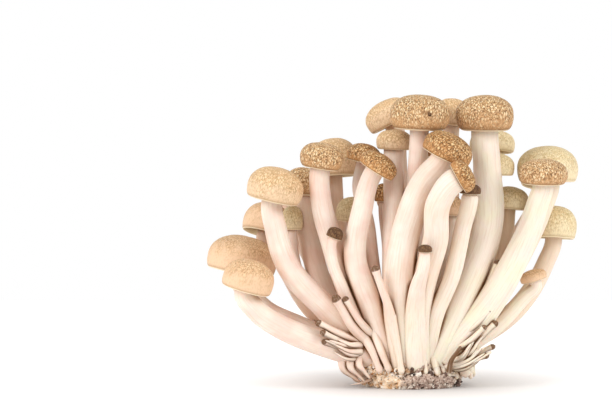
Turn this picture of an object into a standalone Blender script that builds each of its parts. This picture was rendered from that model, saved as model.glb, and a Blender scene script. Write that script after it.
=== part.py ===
"""Brown beech mushroom cluster, cut from the block that it grew on.

Thirty-four mushrooms rise in a fan from one crumbly butt. Units are metres, +Z is up, the front of the
cluster faces -Y, and the origin is the centre of the cut face that the cluster stands on.
"""

import math
import random
from collections import namedtuple

import bmesh
import bpy
from mathutils import Matrix, Vector, geometry, noise

MM = 0.001
SEED = 41

# The gap kept between two pieces that meet.
GAP = 0.3 * MM

# The cut butt: half width, half depth and height, then the crumbs on its wall, most of them in front.
BUTT_HALF_WIDTH = 14.6 * MM
BUTT_HALF_DEPTH = 12.9 * MM
BUTT_HEIGHT = 5.2 * MM
BUTT_STEPS = 24
BUTT_ROUGHNESS = 0.9 * MM
FRONT_CRUMB_COUNT = 14
FRONT_CRUMB_DEGREES = (212, 326)
BACK_CRUMB_DEGREES = (73, 107, 139, 44)
CRUMB_RADIUS = (1.2 * MM, 1.8 * MM)
CRUMB_HEIGHT = (1.9 * MM, 3.4 * MM)

# The flesh in which all the stems join: half widths and heights above its foot, from the top down.
HEART_PROFILE_MM = ((0.0, 13.0), (5.5, 11.8), (10.0, 8.5), (12.4, 4.5), (12.8, 2.0), (12.4, 0.0), (0.0, 0.0))
HEART_STEPS = 18
HEART_DEPTH_RATIO = 0.86

# The caps. The dome is widest at this share of its height, the rim rolls in below that, and the
# underside climbs from the rim to the stem with a gill at every second step round.
WIDEST_LEVEL = 0.32
ROLL_SHARE = 0.955
ROLL_LEVEL = 0.105
RIM_SHARE = 0.84
DOME_ANGLES = (24, 48, 69, 90)
DOME_POWER = 0.88
GILL_START_SHARE = 0.75
GILL_START_RISE = 0.05
GILL_RISE = 0.17
GILL_RELIEF = 0.055
SEAT_SHARE = 1.12
CAP_WAVES = ((2, 0.020), (3, 0.014))
STEPS_BY_RADIUS_MM = ((3.6, 12), (6.8, 16), (99.0, 20))

# The stems, and how many sides their tubes have: twice the resolution, and four more.
WIDEST_TIP = 0.62
NECK_LENGTH = 1.5 * MM
RING_SPACING = 12.0 * MM
RING_TURN = math.radians(18)
THICK_STEM = 6.8 * MM
THICK_RESOLUTION = 3
SLIM_RESOLUTION = 2
PIN_RESOLUTION = 1
PIN_SPACING = 8.0 * MM

# One mushroom, in millimetres and degrees. rim is the centre of the cap's rim, lean tips the cap to the
# right and nod tips it to the front. thick is the stem's thickness under the cap and at the root,
# bends are the points that it passes on its way down, and root is its foot in the flesh.
Mushroom = namedtuple("Mushroom", "name rim radius height lean nod thick bends root")

MUSHROOMS = [
    Mushroom("cap_01", (-52.8, 5, 34), 10.6, 11.5, 12, -2, (5.8, 7.4),
             [(-46, 5.5, 23.5), (-34.5, 5, 17.5)], (-9.5, 2.5)),
    Mushroom("cap_02", (-50.5, -15, 30.5), 7.6, 9.2, 16, 4, (6.4, 8.6),
             [(-47, -15, 24), (-40, -14, 19.2), (-28.5, -11, 14.2)], (-10.5, -7)),
    Mushroom("cap_03", (-45.3, 15, 45.2), 7.6, 10.1, 15, -13, (4.6, 5.2),
             [(-41, 17, 38), (-30.5, 10.5, 21.5)], (-9, 7)),
    Mushroom("cap_04", (-42.5, -8, 57), 8.5, 10.1, 13, 3, (6.4, 8.6),
             [(-41.5, -9, 48.5), (-38, -9, 37.5), (-26.5, -8, 24.5)], (-10.5, -7)),
    Mushroom("cap_05", (-36.5, 3, 47.5), 3.2, 7.3, 0, 0, (3.0, 3.7), [(-35.5, 4, 37.5)], (-8, 2.5)),
    Mushroom("cap_06", (-33.5, 9, 57.5), 5.5, 8.8, 0, -3, (6.1, 7.6),
             [(-31, 8, 42.5), (-26.5, 6, 28)], (-8, 5.5)),
    Mushroom("cap_07", (-28, -6, 66.5), 6.7, 7.9, 9, 2, (6.1, 8.0),
             [(-28, -6, 58.5), (-24, -6, 42.5), (-18.5, -7, 27.5)], (-9.5, -8)),
    Mushroom("cap_08", (-23.3, 18, 63), 7.6, 12.0, -3, -6, (4.6, 5.5), [(-22.2, 16, 48)], (-7, 8)),
    Mushroom("cap_09", (-15, 4, 68), 5.3, 5.8, 12, 0, (3.7, 5.0),
             [(-16.3, -1, 60), (-13.8, -2, 51), (-12.4, -4, 40)], (-7.5, -2.5)),
    Mushroom("cap_10", (-11.5, -9, 66), 6.1, 5.5, 32, 5, (5.8, 8.2),
             [(-15.5, -11, 54), (-17.5, -11, 40.5), (-12, -9.5, 22.5)], (-7.2, -8)),
    Mushroom("cap_11", (-5.5, 12, 79.4), 7.2, 7.9, -27, -4, (5.5, 6.1),
             [(-4, 12, 68.5), (-4.5, 9, 47)], (-3.5, 7)),
    Mushroom("cap_12", (-5.5, 2, 72), 5.5, 6.1, 2, 0, (6.1, 8.0),
             [(-5.5, -4, 55), (-5.8, -8, 42)], (-4.5, -4)),
    Mushroom("cap_13", (2, -7, 78.3), 9.2, 10.6, 2, 1, (5.8, 6.5), [(1.2, -6, 63)], (-2.5, -4)),
    Mushroom("cap_14", (12.5, 11, 79), 5.5, 8.5, 3, -3, (4.9, 5.5), [(12, 9, 50)], (2.5, 5.5)),
    Mushroom("cap_15", (22, -3, 78), 8.7, 10.7, 0, 2, (8.2, 9.8),
             [(22.5, -4, 67.5), (23.3, -5, 51.5), (15, -6.5, 27)], (6.5, -6)),
    Mushroom("cap_16", (9, -16.5, 70.3), 7.8, 7.4, 25, 6, (7.6, 11.0),
             [(4, -15, 64), (-1.7, -14, 50), (-3.9, -13, 37)], (-3, -8)),
    Mushroom("cap_17", (12.7, -27, 64.3), 5.0, 4.6, 60, 10, (7.3, 8.0),
             [(7.5, -24, 58), (6.4, -18, 45.5), (2.8, -13, 31)], (2, -8)),
    Mushroom("cap_18", (16.6, -19, 59.5), 3.2, 3.0, 3, 2, (5.2, 5.2),
             [(14.7, -15, 49), (11.3, -14, 34), (7.2, -12, 24)], (3.8, -7.5)),
    Mushroom("cap_19", (3, -24, 42.5), 2.2, 2.1, 0, 4, (3.0, 9.0), [(1, -18, 30.5)], (0, -9.5)),
    Mushroom("cap_20", (-24, -13.5, 46), 2.5, 3.2, 20, 4, (3.0, 4.9),
             [(-24.5, -13.5, 40.5), (-21, -12, 30)], (-9.5, -8)),
    Mushroom("cap_21", (39, -12, 62), 7.2, 7.6, 1, 3, (6.4, 10.4),
             [(37.5, -12, 56.5), (33.5, -11, 45), (25.5, -9, 29.5)], (9.5, -5.5)),
    Mushroom("cap_22", (42, 8, 61.8), 9.5, 11.1, 0, -3, (7.3, 8.6),
             [(40, 8, 54.5), (33.5, 4, 41), (24, 1, 26)], (9.5, 1.5)),
    Mushroom("cap_23", (44.5, 15, 44), 7.0, 10.1, 3, -6, (5.2, 7.0),
             [(42, 14, 36.5), (33.5, 9, 23.5)], (9.5, 5.5)),
    Mushroom("cap_24", (37.5, 1, 32), 4.1, 3.3, -17, 2, (4.0, 4.8),
             [(34.5, 1, 26.8), (27.5, 0, 19.3)], (10.5, -1.5)),
    Mushroom("cap_25", (30.5, 14, 53), 6.1, 7.1, 4, -4, (4.3, 4.9), [(29, 12, 40.5)], (7.5, 7)),
    Mushroom("cap_26", (12.5, -2, 52), 3.0, 6.1, 0, 0, (3.0, 3.7), [(11, -2, 38.5)], (3, -1.5)),
    Mushroom("cap_27", (25.5, 19, 70.5), 6.9, 7.0, 2, -8, (5.5, 6.1), [(22, 20, 54)], (5.5, 8)),
    Mushroom("cap_28", (25.5, 8, 64), 6.3, 6.7, 2, 0, (4.9, 5.5), [(21, 6, 44)], (6, 2.5)),
    Mushroom("cap_29", (-18, 6, 50), 5.2, 7.3, 0, 0, (4.3, 4.9), [(-17.5, 5, 37.5)], (-6.5, 1.5)),
    Mushroom("cap_30", (-8.6, 5.5, 56), 2.7, 5.5, 0, 0, (3.0, 4.3), [(-7.5, 5.5, 44)], (-4.5, 4)),
    Mushroom("cap_31", (-37.5, 27, 54.5), 6.1, 7.3, -4, -14, (4.9, 5.5), [(-31.5, 22, 38.5)], (-5.5, 8)),
    Mushroom("cap_32", (6, 23, 68), 6.4, 7.6, 4, -12, (5.2, 5.8), [(4.5, 18, 46.5)], (0, 9.5)),
    Mushroom("cap_33", (41, 27, 59.5), 6.1, 6.7, 6, -14, (4.9, 5.5), [(33, 20, 43)], (4, 8)),
    Mushroom("cap_34", (-3.5, 28, 53.5), 6.4, 7.3, -3, -16, (4.9, 5.5), [(-2.5, 21, 37)], (-2.5, 9.5)),
]

# A pin is a mushroom that never opened: a tapering stalk that ends in a blunt dark tip. In millimetres.
Pin = namedtuple("Pin", "tip thick bend root")

FRONT_PINS = [
    Pin((-12, -19, 38), 2.9, (-7.8, -17.5, 26), (-4, -10, 8)),
    Pin((-24, -17, 29), 3.4, (-18.5, -14, 19.5), (-8, -6, 10)),
    Pin((-21, -17, 28.5), 2.4, (-17, -15, 22), (-7, -6, 12)),
    Pin((-29.5, -16, 21), 2.7, (-25, -15, 18.5), (-8, -6, 11)),
    Pin((-28, -17, 18), 2.4, (-22, -14, 15), (-8, -6, 10)),
    Pin((-27.5, -15, 15), 2.2, (-21, -12.5, 12), (-8, -6, 9)),
    Pin((23.5, -12, 24.5), 1.8, (19.5, -12, 20), (8, -5, 11)),
    Pin((25.5, -11, 20.5), 2.5, (20, -11, 15.5), (8, -5, 10)),
    Pin((22, -14, 19.5), 2.0, (17.5, -12.5, 15), (7, -6, 9)),
    Pin((25, -9, 13), 2.2, (18, -8, 10), (7, -4, 8.5)),
    Pin((23, -12, 10.5), 2.2, (17, -10, 8.5), (7, -5, 8)),
    Pin((26, -9, 39), 2.7, (22, -9, 29), (8, -4, 12)),
]
BACK_PIN_COUNT = 9
BACK_PIN_REACH_MM = (17, 23)
BACK_PIN_HEIGHT_MM = (15, 27)
BACK_PIN_THICKNESS_MM = (2.2, 3.0)
BACK_PIN_ROOT_MM = (7, 9)

# Folds of flesh that hang over the butt at its sides and back: each one's direction and how far out its
# bend is, then how far out and how high the root and the foot are and how high the bend is.
FOLDS_DEGREES_MM = ((155, 18.6), (180, 19.8), (204, 19.4), (-25, 17.0), (-3, 17.4), (21, 16.4), (58, 15.6),
                    (90, 15.2), (123, 16.4))
FOLD_ROOT_MM = (10.0, 13.6)
FOLD_BEND_HEIGHT_MM = 9.4
FOLD_FOOT_MM = (17.8, 2.9)
FOLD_THICKNESS_MM = 5.8


def clear_scene():
    for obj in list(bpy.data.objects):
        bpy.data.objects.remove(obj)


def new_collection(name, hidden=False):
    collection = bpy.data.collections.new(name)
    collection.hide_render = hidden
    bpy.context.scene.collection.children.link(collection)
    return collection


def new_material(name, colour, roughness):
    material = bpy.data.materials.new(name)
    material.use_nodes = True
    shader = material.node_tree.nodes["Principled BSDF"]
    shader.inputs["Base Color"].default_value = (*colour, 1.0)
    shader.inputs["Roughness"].default_value = roughness
    shader.inputs["Metallic"].default_value = 0.0
    return material


def brown_cap_skin():
    return new_material("brown_cap_skin", (0.52, 0.33, 0.16), 0.62)


def dark_young_skin():
    return new_material("dark_young_skin", (0.20, 0.11, 0.06), 0.6)


def cream_stem_flesh():
    return new_material("cream_stem_flesh", (0.93, 0.85, 0.74), 0.55)


def crumbly_butt():
    return new_material("crumbly_butt", (0.52, 0.36, 0.27), 0.9)


def weld(mesh):
    shape = bmesh.new()
    shape.from_mesh(mesh)
    bmesh.ops.remove_doubles(shape, verts=shape.verts, dist=0.001 * MM)
    shape.to_mesh(mesh)
    shape.free()


def as_mesh(obj, collection):
    """Makes the evaluated object a plain mesh object of the same name, and removes the first one."""
    bpy.context.view_layer.update()
    evaluated = obj.evaluated_get(bpy.context.evaluated_depsgraph_get())
    mesh = bpy.data.meshes.new_from_object(evaluated)
    name, place = obj.name, obj.matrix_world.copy()
    bpy.data.objects.remove(obj)
    result = bpy.data.objects.new(name, mesh)
    result.matrix_world = place
    collection.objects.link(result)
    return result


def turned(name, profile, steps, collection):
    """Turns a profile, given top to bottom at +X, into a closed mesh object."""
    mesh = bpy.data.meshes.new(name)
    edges = [(i, i + 1) for i in range(len(profile) - 1)]
    mesh.from_pydata([(x, 0.0, z) for x, z in profile], edges, [])
    obj = bpy.data.objects.new(name, mesh)
    collection.objects.link(obj)
    screw = obj.modifiers.new("turn", "SCREW")
    screw.steps = steps
    screw.render_steps = steps
    screw.use_merge_vertices = True
    screw.merge_threshold = 0.001 * MM
    return as_mesh(obj, collection)


def tube(name, points, radii, resolution, collection):
    """A round tube along the points, with its own radius at each of them."""
    curve = bpy.data.curves.new(name, "CURVE")
    curve.dimensions = "3D"
    curve.bevel_depth = 1.0
    curve.bevel_resolution = resolution
    curve.use_fill_caps = True
    spline = curve.splines.new("POLY")
    spline.points.add(len(points) - 1)
    for point, place, radius in zip(spline.points, points, radii):
        point.co = (*place, 1.0)
        point.radius = radius
    obj = bpy.data.objects.new(name, curve)
    collection.objects.link(obj)
    result = as_mesh(obj, collection)
    weld(result.data)
    return result


def keep_outer_shell(mesh):
    """Fills the small hollows sealed in between the fused shapes, by deleting every shell but the largest."""
    shape = bmesh.new()
    shape.from_mesh(mesh)
    unseen, shells = set(shape.verts), []
    while unseen:
        shell, edge_of_shell = set(), [next(iter(unseen))]
        while edge_of_shell:
            vertex = edge_of_shell.pop()
            if vertex not in shell:
                shell.add(vertex)
                edge_of_shell += [edge.other_vert(vertex) for edge in vertex.link_edges]
        shells.append(shell)
        unseen -= shell
    outer = max(shells, key=len)
    bmesh.ops.delete(shape, geom=[vertex for vertex in shape.verts if vertex not in outer], context="VERTS")
    shape.to_mesh(mesh)
    shape.free()


def union(name, objects, collection, material):
    """Fuses the objects into one body, by one union of the first with all the others."""
    body, others = objects[0], objects[1:]
    joined = new_collection(name + "_joined", hidden=True)
    for obj in others:
        for holder in obj.users_collection:
            holder.objects.unlink(obj)
        joined.objects.link(obj)
        obj.hide_render = True
        obj.display_type = "WIRE"
    fuse = body.modifiers.new("fuse", "BOOLEAN")
    fuse.operation = "UNION"
    fuse.operand_type = "COLLECTION"
    fuse.collection = joined
    fuse.solver = "MANIFOLD"
    body.name = name
    result = as_mesh(body, collection)
    keep_outer_shell(result.data)
    for obj in others:
        bpy.data.objects.remove(obj)
    bpy.data.collections.remove(joined)
    result.name = name
    finish(result, material)
    return result


def finish(obj, material):
    obj.data.materials.clear()
    obj.data.materials.append(material)
    obj.data.shade_smooth()
    obj.data.set_sharp_from_angle(angle=math.radians(50))


def smooth_path(knots, start, end, spacing):
    """Points on a smooth curve through the knots, a spacing apart or closer where it turns sharply."""
    directions = [start]
    for before, knot, after in zip(knots, knots[1:], knots[2:]):
        back, ahead = knot - before, after - knot
        directions.append((back.normalized() * ahead.length + ahead.normalized() * back.length).normalized())
    directions.append(end)
    points = [knots[0]]
    for i in range(len(knots) - 1):
        first, last = knots[i], knots[i + 1]
        reach = (last - first).length / 3
        turn = directions[i].angle(last - first) + directions[i + 1].angle(last - first)
        count = max(1, round((last - first).length / spacing), round(turn / RING_TURN))
        handles = first + directions[i] * reach, last - directions[i + 1] * reach
        points += geometry.interpolate_bezier(first, *handles, last, count + 1)[1:]
    return points


def shares_along(points):
    """How far along the path each point is, from 0 at its start to 1 at its end."""
    lengths = [0.0]
    for first, last in zip(points, points[1:]):
        lengths.append(lengths[-1] + (last - first).length)
    return [length / lengths[-1] for length in lengths]


def cap_turn(mushroom):
    """The cap's tilt: to the right about Y, then to the front about X."""
    lean = Matrix.Rotation(math.radians(mushroom.lean), 4, "Y")
    return Matrix.Rotation(math.radians(mushroom.nod), 4, "X") @ lean


def tip_radius(mushroom):
    return min(mushroom.thick[0] / 2, WIDEST_TIP * mushroom.radius) * MM


def root_above_butt(root, bend, radius):
    """The root raised until its tube's end, which is square to its run, just clears the butt."""
    run = (bend - root).normalized()
    slope = math.hypot(run.x, run.y)
    return root + Vector((0, 0, BUTT_HEIGHT + 2 * GAP + radius * slope))


def stem_tube(mushroom, collection):
    """The stem, from its foot in the flesh to just under the middle of the cap, where it meets it square."""
    axis = (cap_turn(mushroom) @ Vector((0, 0, 1))).normalized()
    rim = Vector(mushroom.rim) * MM
    tip = rim + axis * (GILL_RISE * mushroom.radius * MM - GAP)
    neck = tip - axis * NECK_LENGTH
    top, bottom = (thickness / 2 * MM for thickness in mushroom.thick)
    bends = [Vector(bend) * MM for bend in reversed(mushroom.bends)]
    root = root_above_butt(Vector((*mushroom.root, 0)) * MM, bends[0], bottom)
    start = (bends[0] - root).normalized()
    points = smooth_path([root, *bends, neck], start, axis, RING_SPACING)
    radii = [bottom + (top - bottom) * share for share in shares_along(points)]
    radii[-1] = tip_radius(mushroom)
    resolution = THICK_RESOLUTION if mushroom.thick[1] * MM > THICK_STEM else SLIM_RESOLUTION
    name = mushroom.name.replace("cap", "stem")
    return tube(name, [*points, tip], [*radii, tip_radius(mushroom)], resolution, collection)


def pin_tube(name, pin, collection):
    """A pin: thickest at its root, narrow below the tip, and a little swollen at the tip itself."""
    tip, bend, root = (Vector(place) * MM for place in (pin.tip, pin.bend, pin.root))
    radius = pin.thick / 2 * MM
    end = (tip - bend).normalized()
    neck = tip - end * 2.2 * radius
    points = smooth_path([root, bend, neck], (bend - root).normalized(), end, PIN_SPACING)
    radii = [radius * (1.25 - 0.5 * share) for share in shares_along(points)]
    points += [tip - end * 1.1 * radius, tip]
    radii += [radius * 0.95, radius * 0.5]
    return tube(name, points, radii, PIN_RESOLUTION, collection)


def back_pins(draw):
    """Pins round the back of the butt, fanned out evenly with a little scatter."""
    pins = []
    for i in range(BACK_PIN_COUNT):
        angle = math.radians(10 + 160 * (i + draw.uniform(0.2, 0.8)) / BACK_PIN_COUNT)
        reach, height = draw.uniform(*BACK_PIN_REACH_MM), draw.uniform(*BACK_PIN_HEIGHT_MM)
        foot = draw.uniform(*BACK_PIN_ROOT_MM)
        across, back = math.cos(angle), math.sin(angle)
        tip = (reach * across, reach * back, height)
        bend = (0.78 * reach * across, 0.78 * reach * back, 0.62 * height)
        thickness = draw.uniform(*BACK_PIN_THICKNESS_MM)
        pins.append(Pin(tip, thickness, bend, (foot * across, foot * back, 10)))
    return pins


def side_folds(draw):
    """The folds, each a short thick pin that turns down instead of up."""
    folds = []
    for degrees, bend_reach in FOLDS_DEGREES_MM:
        across = math.cos(math.radians(degrees))
        back = HEART_DEPTH_RATIO * math.sin(math.radians(degrees))
        reach = draw.uniform(0.97, 1.02)
        run = FOLD_ROOT_MM, (bend_reach, FOLD_BEND_HEIGHT_MM), FOLD_FOOT_MM
        root, bend, foot = ((across * out * reach, back * out * reach, up) for out, up in run)
        folds.append(Pin(foot, FOLD_THICKNESS_MM * draw.uniform(0.85, 1.1), bend, root))
    return folds


def make_heart(collection):
    profile = [(x * MM, z * MM) for x, z in HEART_PROFILE_MM]
    heart = turned("heart", profile, HEART_STEPS, collection)
    heart.data.transform(Matrix.Diagonal((1.0, HEART_DEPTH_RATIO, 1.0, 1.0)))
    heart.data.transform(Matrix.Translation((0, 0, BUTT_HEIGHT + GAP)))
    return heart


def make_stems(collection, draw):
    """All the stems and pins, grown together as one body above the butt."""
    parts = [make_heart(collection)]
    parts += [stem_tube(mushroom, collection) for mushroom in MUSHROOMS]
    pins = FRONT_PINS + back_pins(draw) + side_folds(draw)
    parts += [pin_tube(f"pin_{i + 1:02d}", pin, collection) for i, pin in enumerate(pins)]
    return union("stems", parts, collection, cream_stem_flesh())


def cap_profile(mushroom):
    """The cap's outline from its crown, over the rolled rim and up under it to the stem's seat."""
    radius, height = mushroom.radius * MM, mushroom.height * MM
    widest = WIDEST_LEVEL * height
    profile = [(0.0, height)]
    for angle in map(math.radians, DOME_ANGLES):
        across, up = math.sin(angle) ** DOME_POWER, abs(math.cos(angle)) ** DOME_POWER
        profile.append((radius * across, widest + (height - widest) * up))
    profile.append((ROLL_SHARE * radius, ROLL_LEVEL * height))
    profile.append((RIM_SHARE * radius, 0.0))
    profile.append((GILL_START_SHARE * radius, GILL_START_RISE * radius))
    profile.append((SEAT_SHARE * tip_radius(mushroom), GILL_RISE * radius))
    profile.append((0.0, GILL_RISE * radius))
    return profile


def swell(angle, number):
    """How much wider than a circle a cap is in one direction, as each grew a little uneven."""
    return 1 + sum(size * math.sin(waves * (angle + number)) for waves, size in CAP_WAVES)


def make_cap(mushroom, number, skin, collection):
    steps = next(steps for limit, steps in STEPS_BY_RADIUS_MM if mushroom.radius <= limit)
    cap = turned(mushroom.name, cap_profile(mushroom), steps, collection)
    radius = mushroom.radius * MM
    seat = SEAT_SHARE * tip_radius(mushroom)
    for vertex in cap.data.vertices:
        across = math.hypot(vertex.co.x, vertex.co.y)
        angle = math.atan2(vertex.co.y, vertex.co.x)
        if across < seat + 0.01 * MM and vertex.co.z < GILL_RISE * radius + 0.01 * MM:
            continue
        if abs(across - GILL_START_SHARE * radius) < 0.01 * MM and vertex.co.z < GILL_RISE * radius:
            vertex.co.z += GILL_RELIEF * radius * math.cos(steps / 2 * angle)
        vertex.co.x *= swell(angle, number)
        vertex.co.y *= swell(angle, number)
    cap.matrix_world = Matrix.Translation(Vector(mushroom.rim) * MM) @ cap_turn(mushroom)
    finish(cap, skin)
    return cap


def make_caps(collection):
    brown, dark = brown_cap_skin(), dark_young_skin()
    for number, mushroom in enumerate(MUSHROOMS):
        skin = dark if mushroom.radius <= STEPS_BY_RADIUS_MM[0][0] else brown
        make_cap(mushroom, number, skin, collection)


def butt_profile():
    """The butt's outline from the middle of its top, over its worn edge and down its wall to its foot."""
    shares = ((0.0, 1.0), (0.84, 1.0), (0.95, 0.7), (1.0, 0.3), (0.97, 0.0), (0.0, 0.0))
    return [(across * BUTT_HALF_WIDTH, up * BUTT_HEIGHT) for across, up in shares]


def rough_butt(collection):
    """The butt itself: a low oval block whose wall was torn and cut unevenly."""
    butt = turned("butt", butt_profile(), BUTT_STEPS, collection)
    butt.data.transform(Matrix.Diagonal((1.0, BUTT_HALF_DEPTH / BUTT_HALF_WIDTH, 1.0, 1.0)))
    for vertex in butt.data.vertices:
        across = Vector((vertex.co.x, vertex.co.y, 0))
        if across.length > 0.1 * MM:
            vertex.co += across.normalized() * BUTT_ROUGHNESS * noise.noise(vertex.co / (4 * MM))
    return butt


def crumb(name, draw, angle, collection):
    """A crumb of sawdust and mycelium, a squashed lump sunk half way into the butt's wall."""
    shape = bmesh.new()
    bmesh.ops.create_icosphere(shape, subdivisions=1, radius=draw.uniform(*CRUMB_RADIUS))
    stretch = Matrix.Diagonal((draw.uniform(0.8, 1.3), draw.uniform(0.8, 1.2), draw.uniform(0.7, 1.0), 1.0))
    turn = Matrix.Rotation(draw.uniform(0, math.tau), 4, "Z")
    place = Vector((BUTT_HALF_WIDTH * math.cos(angle), BUTT_HALF_DEPTH * math.sin(angle),
                    draw.uniform(*CRUMB_HEIGHT)))
    bmesh.ops.transform(shape, matrix=Matrix.Translation(place) @ turn @ stretch, verts=shape.verts)
    mesh = bpy.data.meshes.new(name)
    shape.to_mesh(mesh)
    shape.free()
    obj = bpy.data.objects.new(name, mesh)
    collection.objects.link(obj)
    return obj


def make_base(collection, draw):
    parts = [rough_butt(collection)]
    first, last = FRONT_CRUMB_DEGREES
    places = [first + (last - first) * (i + draw.uniform(0.2, 0.8)) / FRONT_CRUMB_COUNT
              for i in range(FRONT_CRUMB_COUNT)]
    for i, degrees in enumerate([*places, *BACK_CRUMB_DEGREES]):
        parts.append(crumb(f"crumb_{i + 1:02d}", draw, math.radians(degrees), collection))
    return union("cut_butt", parts, collection, crumbly_butt())


def main():
    clear_scene()
    cluster = new_collection("beech_mushroom_cluster")
    draw = random.Random(SEED)
    make_base(cluster, draw)
    make_stems(cluster, draw)
    make_caps(cluster)


main()
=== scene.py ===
import math
import random
from collections import namedtuple

import bmesh
import bpy
import numpy as np
from mathutils import Matrix, Vector, geometry, noise


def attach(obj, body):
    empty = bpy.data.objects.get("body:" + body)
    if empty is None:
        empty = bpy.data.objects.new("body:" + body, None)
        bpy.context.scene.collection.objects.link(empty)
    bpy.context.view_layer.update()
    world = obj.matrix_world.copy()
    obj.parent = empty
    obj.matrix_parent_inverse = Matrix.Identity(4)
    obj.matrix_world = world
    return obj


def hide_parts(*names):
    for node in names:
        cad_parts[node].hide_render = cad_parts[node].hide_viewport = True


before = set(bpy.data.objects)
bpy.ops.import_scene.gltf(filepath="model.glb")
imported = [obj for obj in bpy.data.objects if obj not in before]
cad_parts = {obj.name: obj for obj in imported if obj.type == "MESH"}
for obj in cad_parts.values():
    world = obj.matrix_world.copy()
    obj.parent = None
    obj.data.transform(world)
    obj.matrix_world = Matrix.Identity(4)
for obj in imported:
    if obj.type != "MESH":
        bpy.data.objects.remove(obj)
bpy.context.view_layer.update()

# The butt: a low oval block of sawdust held together by white mycelium, torn from the bag that the
# cluster grew in and sliced flat below. Its wall is all crumbs, warm and pale at the left, purple-brown
# at the right.
MM = 0.001
SEED = 41
GAP = 0.3 * MM
BUTT_HALF_WIDTH = 14.6 * MM
BUTT_HALF_DEPTH = 12.9 * MM
BUTT_HEIGHT = 5.2 * MM
BUTT_TEAR = 0.9 * MM
BUTT_TEAR_SIZE = 4 * MM
BUTT_GRAIN = 0.3 * MM
BUTT_GRAIN_SIZE = 0.9 * MM
BUTT_SIDES = 150
BUTT_STEPS = 5
# The butt's outline in shares of its half width and height: over the top, down the wall and under the foot.
BUTT_OUTLINE = ((0.0, 1.0), (0.42, 1.0), (0.84, 1.0), (0.95, 0.7), (1.0, 0.3), (0.97, 0.0), (0.5, 0.0))
LARGE_CRUMB_COUNT = 14
LARGE_CRUMB_DEGREES = (212, 326)
BACK_CRUMB_DEGREES = (73, 107, 139, 44)
LARGE_CRUMB_RADIUS = (1.2 * MM, 1.8 * MM)
LARGE_CRUMB_HEIGHT = (1.9 * MM, 3.4 * MM)
SMALL_CRUMB_COUNT = 900
SMALL_CRUMB_RADIUS = (0.2 * MM, 0.65 * MM)
SMALL_CRUMB_STRETCH = (0.4, 1.6)
SMALL_CRUMB_HEIGHT = (0.06 * BUTT_HEIGHT, 0.97 * BUTT_HEIGHT)
# How far out the small crumbs stand, in shares of the wall's reach: proud of it in front, sunk in it behind.
FRONT_CRUMB_OUT = (0.97, 1.02)
BACK_CRUMB_OUT = 0.96
BACK_FROM_SINE = 0.2
CRUMB_LUMPS = 0.42
CRUMB_LUMP_SIZE = 0.6
PATCH_MM = 2.6
TONE_SIZE = 1.3 * MM
GRAIN_MM = 0.55
BIT_MM = 1.1
GRAIN_BUMP = 0.35 * MM


def linear(hex_colour):
    """An sRGB hex colour as the linear colour that a shader takes."""
    shares = [int(hex_colour[i:i + 2], 16) / 255 for i in (1, 3, 5)]
    shares = [share / 12.92 if share <= 0.04045 else ((share + 0.055) / 1.055) ** 2.4 for share in shares]
    return (*shares, 1.0)


def fill_sockets(tree, node, sockets):
    """Fills a node's sockets with values, or links them to other nodes' outputs."""
    for socket, value in sockets.items():
        if isinstance(value, bpy.types.NodeSocket):
            tree.links.new(value, node.inputs[socket])
        else:
            node.inputs[socket].default_value = value


def add_node(tree, kind, sockets=None, stops=None, output=0, **settings):
    """Adds a shader node with its settings, values, links and colour stops, and gives one of its outputs."""
    added = tree.nodes.new("ShaderNode" + kind)
    for name, value in settings.items():
        setattr(added, name, value)
    fill_sockets(tree, added, sockets or {})
    for i, (position, colour) in enumerate(stops or []):
        ramp = added.color_ramp
        stop = ramp.elements[i] if i < 2 else ramp.elements.new(position)
        stop.position = position
        stop.color = linear(colour)
    return added.outputs[output]


def new_material(name):
    """A material of that name, with its node tree and its shader."""
    material = bpy.data.materials.new(name)
    material.use_nodes = True
    return material, material.node_tree, material.node_tree.nodes["Principled BSDF"]


def sawdust_and_mycelium():
    """Damp beech sawdust bound by mycelium: matt and grainy, cream to orange, purple-brown at the right."""
    material, tree, shader = new_material("sawdust_and_mycelium")
    place = add_node(tree, "Attribute", attribute_name="place_mm", output="Vector")
    tone = add_node(tree, "Attribute", attribute_name="tone", output="Fac")
    side = add_node(tree, "SeparateXYZ", {"Vector": place})
    patches = add_node(tree, "TexNoise", {"Vector": place, "Scale": 1 / PATCH_MM, "Detail": 3.0})
    shifted = add_node(tree, "Math", {0: patches, 1: 9.0, 2: side}, operation="MULTIPLY_ADD")
    right = add_node(tree, "MapRange", {"Value": shifted, "From Min": -1.0, "From Max": 3.5},
                     interpolation_type="SMOOTHSTEP")
    grains = add_node(tree, "TexNoise", {"Vector": place, "Scale": 1 / GRAIN_MM, "Detail": 4.0})
    mixed = add_node(tree, "Math", {0: tone, 1: grains}, operation="ADD")
    share = add_node(tree, "Math", {0: mixed, 1: 0.5}, operation="MULTIPLY")
    warm = add_node(tree, "ValToRGB", {"Fac": share},
                    [(0.24, "#A8683A"), (0.36, "#E2AE78"), (0.48, "#F7DCBC"), (0.62, "#FFF6EA")])
    old = add_node(tree, "ValToRGB", {"Fac": share},
                   [(0.28, "#3A2A22"), (0.40, "#8E7268"), (0.52, "#C3AA9A"), (0.62, "#F4E8DA")])
    crumbs = add_node(tree, "Mix", {0: right, 6: warm, 7: old}, data_type="RGBA", output=2)
    bits = add_node(tree, "TexVoronoi", {"Vector": place, "Scale": 1 / BIT_MM})
    black = add_node(tree, "MapRange", {"Value": bits, "From Min": 0.24, "From Max": 0.12, "To Max": 0.85})
    colour = add_node(tree, "Mix", {0: black, 6: crumbs, 7: linear("#33241C")}, data_type="RGBA", output=2)
    bump = add_node(tree, "Bump", {"Height": grains, "Strength": 0.8, "Distance": GRAIN_BUMP})
    fill_sockets(tree, shader, {"Base Color": colour, "Normal": bump, "Roughness": 0.92, "IOR": 1.4})
    return material


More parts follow.
